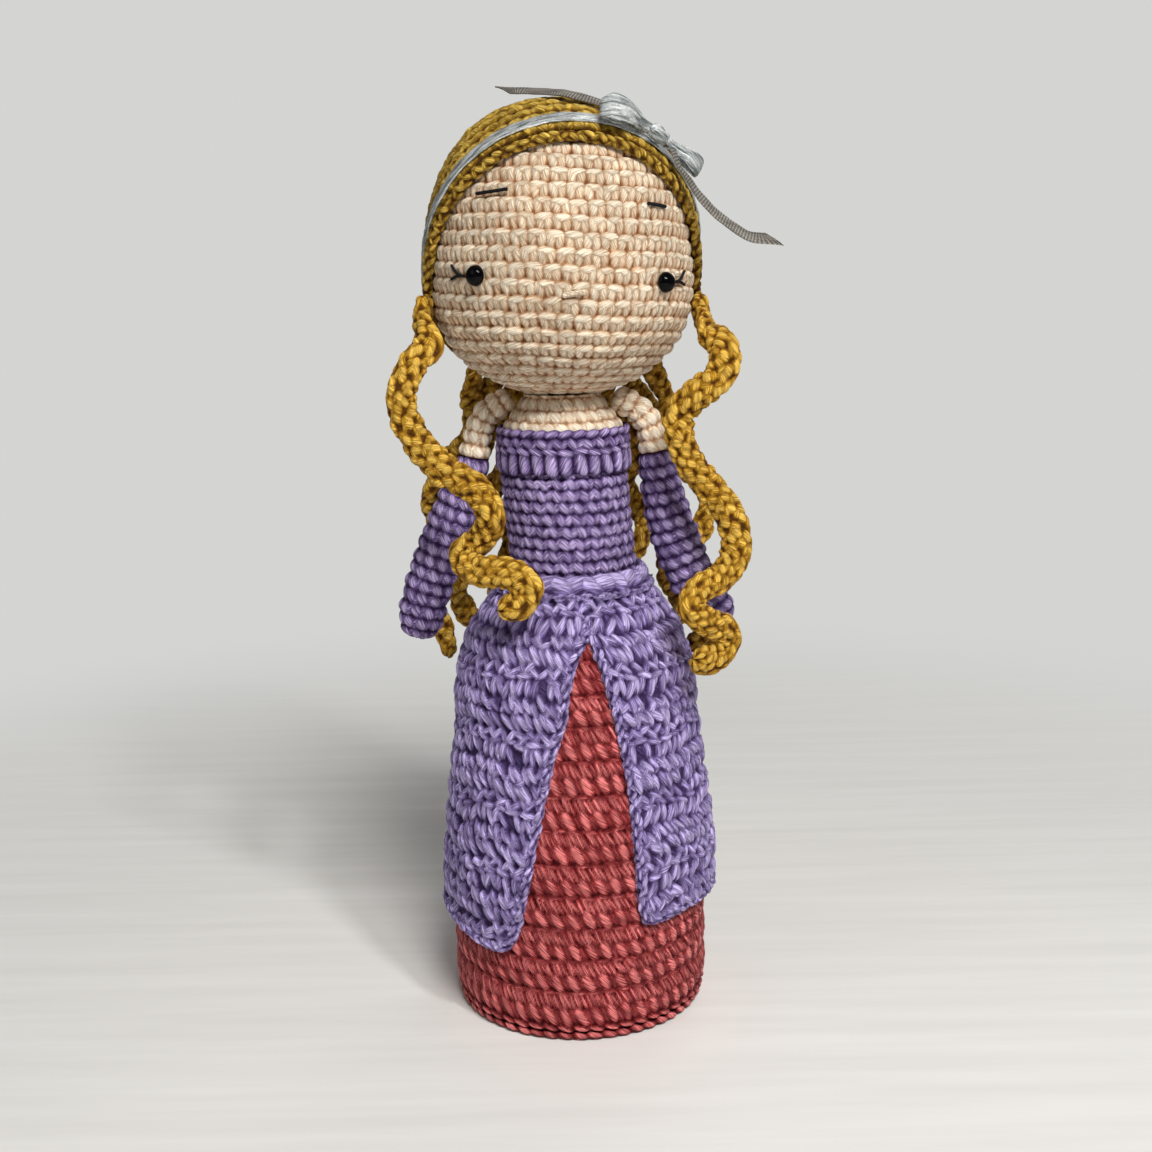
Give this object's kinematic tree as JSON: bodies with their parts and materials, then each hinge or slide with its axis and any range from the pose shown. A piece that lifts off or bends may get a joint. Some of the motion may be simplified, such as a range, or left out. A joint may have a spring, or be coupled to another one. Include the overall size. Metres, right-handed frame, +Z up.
{
  "type": "crocheted doll",
  "caption": "Standing crocheted doll with a long split overskirt, gloved arms, corkscrew locks and a ribbon bow.",
  "frame": {"origin": "middle of the flat underside of the base", "axes": "+Z up through the neck, the face looks along -Y, +X to the viewer's right"},
  "size_m": [0.1203, 0.096, 0.2947],
  "materials": {
    "rose_yarn": "matte",
    "lilac_yarn": "matte",
    "peach_yarn": "matte",
    "mustard_yarn": "matte",
    "wadding": "matte",
    "black_thread": "matte",
    "satin_ribbon": "satin",
    "eye_bead": "gloss",
    "washer_plastic": "matte",
    "card": "matte",
    "stick_wood": "matte"
  },
  "bodies": {
    "doll_body": {"base_panel": "rose_yarn", "base_card": "card", "underskirt": "rose_yarn", "body_filling": "wadding", "bodice": "lilac_yarn", "bodice_band": "lilac_yarn", "chest": "peach_yarn", "neck_stick": "stick_wood", "overskirt": "lilac_yarn", "head": "peach_yarn", "head_filling": "wadding", "nose_stitch": "peach_yarn", "wig_cap": "mustard_yarn", "hairline_edge": "mustard_yarn", "ribbon_band": "satin_ribbon", "ribbon_knot": "satin_ribbon", "eye_left": "eye_bead", "eye_washer_left": "washer_plastic", "brow_left": "black_thread", "lash_left": "black_thread", "ribbon_loop_left": "satin_ribbon", "ribbon_tail_left": "satin_ribbon", "eye_right": "eye_bead", "eye_washer_right": "washer_plastic", "brow_right": "black_thread", "lash_right": "black_thread", "ribbon_loop_right": "satin_ribbon", "ribbon_tail_right": "satin_ribbon", "lock_front_left": "mustard_yarn", "lock_front_right": "mustard_yarn", "lock_back_left_1": "mustard_yarn", "lock_back_left_2": "mustard_yarn", "lock_back_left_3": "mustard_yarn", "lock_back_left_4": "mustard_yarn", "lock_back_right_1": "mustard_yarn", "lock_back_right_2": "mustard_yarn", "lock_back_right_3": "mustard_yarn", "lock_back_right_4": "mustard_yarn"},
    "arm_left": {"upper_arm_left": "peach_yarn", "glove_left": "lilac_yarn"},
    "arm_right": {"upper_arm_right": "peach_yarn", "glove_right": "lilac_yarn"}
  },
  "joints": [
    {"name": "arm_left_raise", "type": "hinge", "parent": "doll_body", "child": "arm_left", "pos_m": [-0.02205, 0, 0.1994], "axis": [0, 1, 0], "range_deg": [0, 42]},
    {"name": "arm_right_raise", "type": "hinge", "parent": "doll_body", "child": "arm_right", "pos_m": [0.01705, 0, 0.1994], "axis": [0, -1, 0], "range_deg": [0, 42]}
  ]
}
